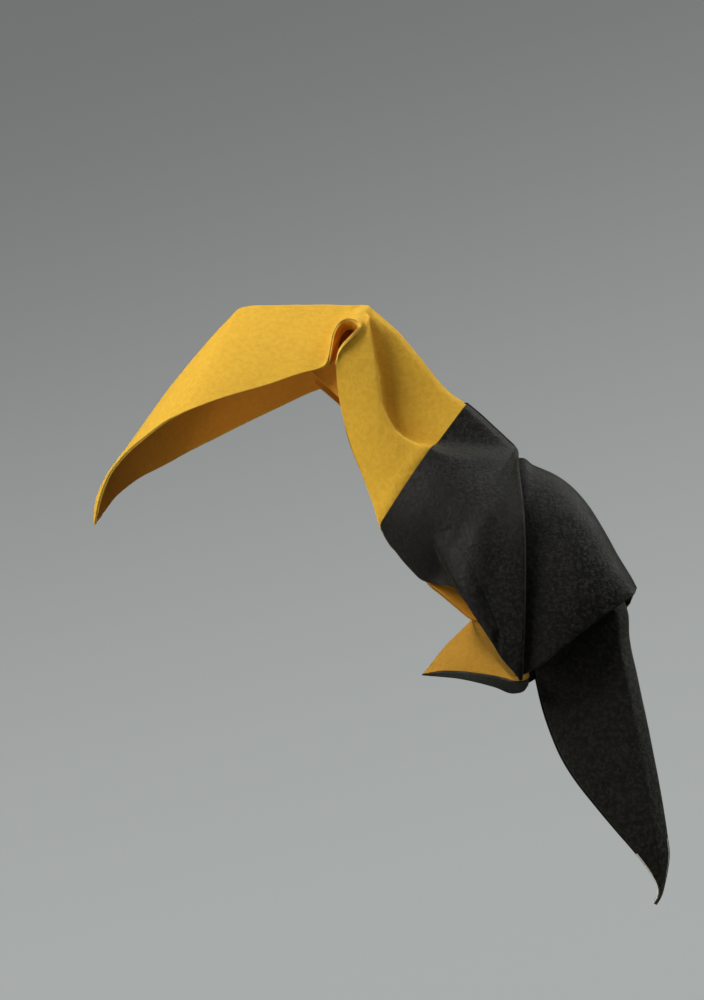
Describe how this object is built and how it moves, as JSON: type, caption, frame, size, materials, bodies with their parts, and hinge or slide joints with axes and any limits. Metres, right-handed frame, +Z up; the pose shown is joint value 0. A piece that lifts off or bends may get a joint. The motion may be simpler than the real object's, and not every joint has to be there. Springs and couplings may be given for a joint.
{
  "type": "folded paper bird",
  "caption": "Perched toucan folded from one two-coloured sheet: long curved beak, rolled eyes, wings over rounded back panels, hanging tail and a flat foot.",
  "frame": {"origin": "centre of the foot's flat sole, where it rests on its perch", "axes": "+Z up, the bird faces -X, and its middle plane is y = 0"},
  "size_m": [0.1438, 0.0342, 0.1519],
  "materials": {
    "sheet": "matt two-coloured handmade paper, black on one side and warm yellow on the other, with a soft felt-like grain"
  },
  "bodies": {
    "root": {"folded_sheet": "sheet"}
  },
  "joints": []
}
